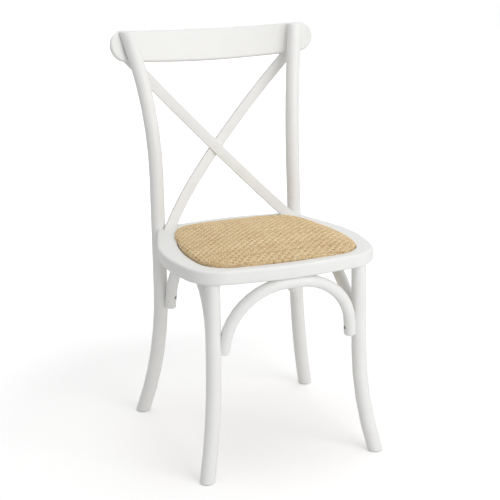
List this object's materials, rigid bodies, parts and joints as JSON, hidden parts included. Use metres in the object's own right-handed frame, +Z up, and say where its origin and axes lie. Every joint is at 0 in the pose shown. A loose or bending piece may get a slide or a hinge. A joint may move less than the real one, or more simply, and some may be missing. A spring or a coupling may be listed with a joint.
{
  "type": "cross back dining chair",
  "caption": "White bentwood dining chair with crossed back laths, bowed crest rail, arched braces and a woven seat.",
  "frame": {"origin": "on the floor, under the middle of the chair's outline", "axes": "+Z up, +Y towards the back, +X to the right as seen from the front"},
  "size_m": [0.484, 0.5154, 0.8861],
  "materials": {
    "white_paint": "satin white paint on bentwood",
    "rattan": "woven natural rattan",
    "foam": "thin seat foam",
    "plywood": "plain birch plywood",
    "beech": "plain beech",
    "screw_steel": "zinc plated",
    "glide_plastic": "matt"
  },
  "bodies": {
    "root": {"crest_rail": "white_paint", "left_rear_post": "white_paint", "right_rear_post": "white_paint", "front_cross_lath": "white_paint", "back_cross_lath": "white_paint", "left_front_leg": "white_paint", "right_front_leg": "white_paint", "front_brace": "white_paint", "left_brace": "white_paint", "right_brace": "white_paint", "seat_front_rail": "white_paint", "seat_rear_rail": "white_paint", "seat_left_rail": "white_paint", "seat_right_rail": "white_paint", "rattan_cover": "rattan", "seat_foam": "foam", "seat_panel": "plywood", "seat_dowels": "beech", "brace_end_screws": "screw_steel", "brace_top_screws": "screw_steel", "crest_screws": "screw_steel", "lath_screws": "screw_steel", "seat_screws": "screw_steel", "post_bolts": "screw_steel", "foot_glides": "glide_plastic"}
  },
  "joints": []
}
